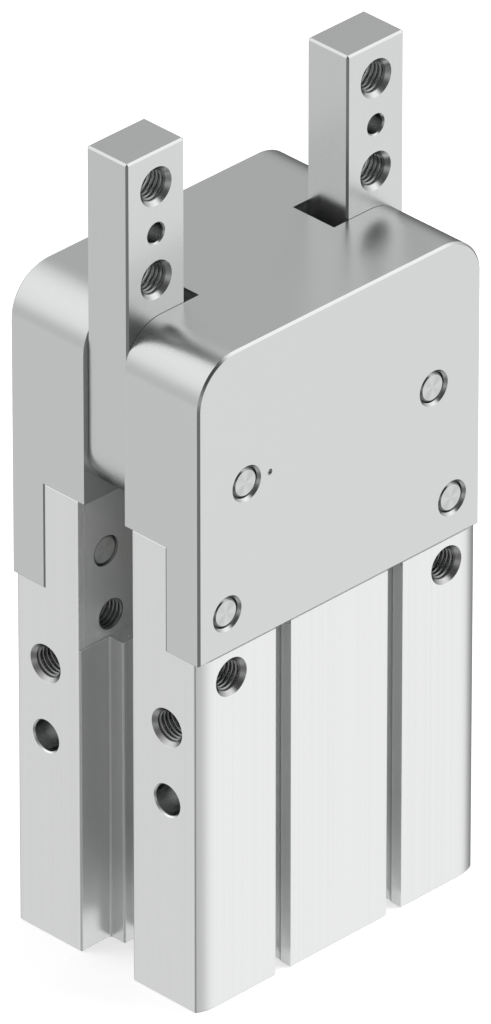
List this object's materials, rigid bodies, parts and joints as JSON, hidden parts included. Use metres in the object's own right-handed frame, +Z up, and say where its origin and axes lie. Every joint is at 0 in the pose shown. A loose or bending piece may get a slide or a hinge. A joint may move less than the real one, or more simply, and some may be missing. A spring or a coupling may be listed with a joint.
{
  "type": "radial gripper",
  "caption": "Pneumatic radial gripper: a slotted rectangular housing and cover, with upright jaws that swing outwards to lie flat.",
  "frame": {"origin": "centre of the housing's bottom face", "axes": "+Z up towards the jaws, +X along the wide faces towards the right jaw, -Y out of the front wide face"},
  "size_m": [0.0462, 0.031, 0.1093],
  "materials": {
    "housing_anodised": "extruded, clear anodised, fine lengthwise grain",
    "cover_anodised": "milled and bead blasted, clear anodised, satin",
    "jaw_steel": "fine ground, nickel plated, satin",
    "pin_steel": "ground, turned ends",
    "rod_chromed": "ground and hard chromed",
    "head_steel": "milled and hardened",
    "bush_bronze": "sintered bronze",
    "seal_rubber": "moulded",
    "magnet_black": "plastic-bonded ferrite",
    "turned_aluminium": "turned, clear anodised",
    "spring_steel": "phosphated spring steel"
  },
  "bodies": {
    "housing": {"body_housing": "housing_anodised", "head_cover": "cover_anodised", "cover_dowel_pins": "pin_steel", "pivot_pin_left": "pin_steel", "pivot_pin_right": "pin_steel", "rod_bush": "bush_bronze", "rod_seal": "seal_rubber", "seal_retainer": "spring_steel", "bumper_lower": "seal_rubber", "bumper_upper": "seal_rubber", "end_cap": "turned_aluminium", "end_cap_o_ring": "seal_rubber", "end_cap_circlip": "spring_steel"},
    "jaw_left": {"jaw_left": "jaw_steel", "pivot_bush_left": "bush_bronze", "lever_pin_left": "pin_steel", "lever_roller_left": "pin_steel"},
    "jaw_right": {"jaw_right": "jaw_steel", "pivot_bush_right": "bush_bronze", "lever_pin_right": "pin_steel", "lever_roller_right": "pin_steel"},
    "piston": {"piston": "turned_aluminium", "piston_rod": "rod_chromed", "piston_nut": "pin_steel", "piston_magnet": "magnet_black", "piston_seal_lower": "seal_rubber", "piston_seal_upper": "seal_rubber", "drive_head": "head_steel", "head_lock_pin": "pin_steel"}
  },
  "joints": [
    {"name": "jaw_left_swing", "type": "hinge", "parent": "housing", "child": "jaw_left", "pos_m": [-0.01532, 0, 0.06922], "axis": [0, -1, 0], "range_deg": [0, 90]},
    {"name": "jaw_right_swing", "type": "hinge", "parent": "housing", "child": "jaw_right", "pos_m": [0.01532, 0, 0.06922], "axis": [0, 1, 0], "range_deg": [0, 90]},
    {"name": "piston_slide", "type": "slide", "parent": "housing", "child": "piston", "axis": [0, 0, 1], "range_m": [0, 0.01131]}
  ],
  "couplings": [
    {"joint": "jaw_right_swing", "follows": "jaw_left_swing", "ratio": 1},
    {"joint": "piston_slide", "follows": "jaw_left_swing", "m_per_rad": 0.0072025}
  ]
}
